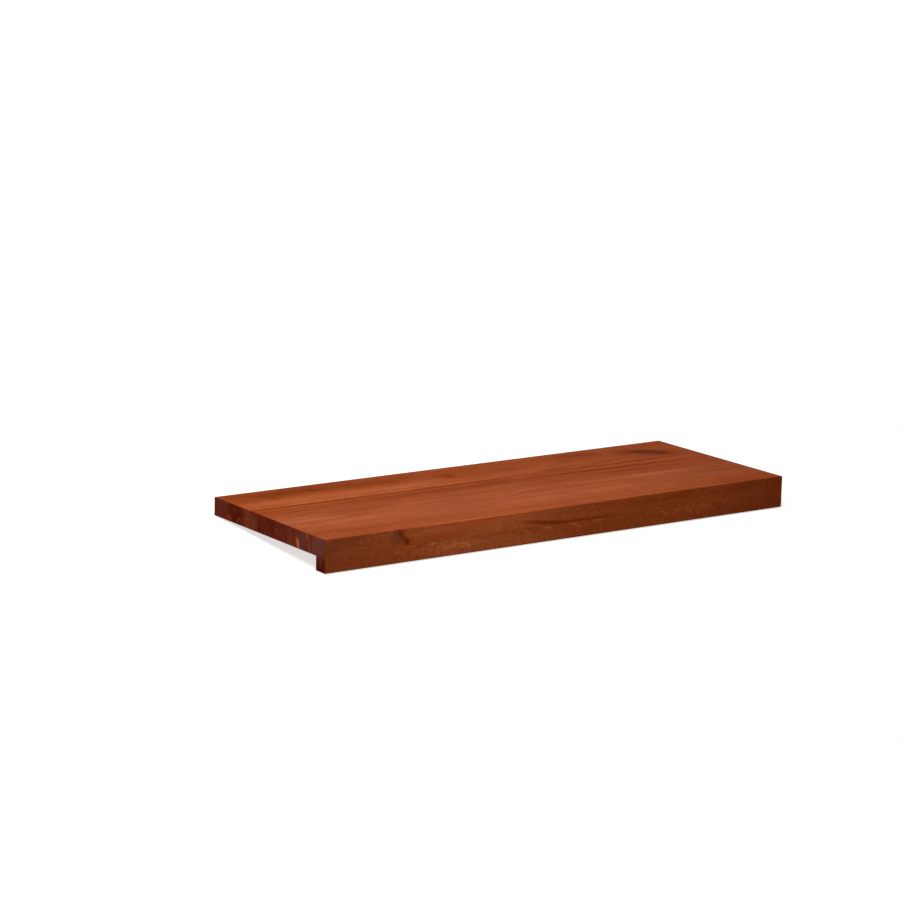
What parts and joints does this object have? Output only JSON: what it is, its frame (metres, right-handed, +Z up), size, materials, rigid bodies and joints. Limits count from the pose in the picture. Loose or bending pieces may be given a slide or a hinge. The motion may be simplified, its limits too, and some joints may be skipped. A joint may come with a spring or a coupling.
{
  "type": "stair tread",
  "caption": "Solid-wood stair tread: a flat panel of edge-glued staves with a square nosing strip hanging below its front edge, stained red-brown.",
  "frame": {"origin": "middle of the footprint, at the level of the nosing strip's underside", "axes": "+X along the tread's length, -Y towards the nosing (the front), +Z up, with the walking surface level and facing +Z"},
  "size_m": [0.762, 0.2794, 0.0444],
  "materials": {
    "back_stave": "red-brown stain under matt lacquer",
    "middle_stave": "red-brown stain under matt lacquer",
    "front_stave": "red-brown stain under matt lacquer",
    "nosing_strip": "red-brown stain under matt lacquer"
  },
  "bodies": {
    "root": {"back_stave": "back_stave", "middle_stave": "middle_stave", "front_stave": "front_stave", "nosing_strip": "nosing_strip"}
  },
  "joints": []
}
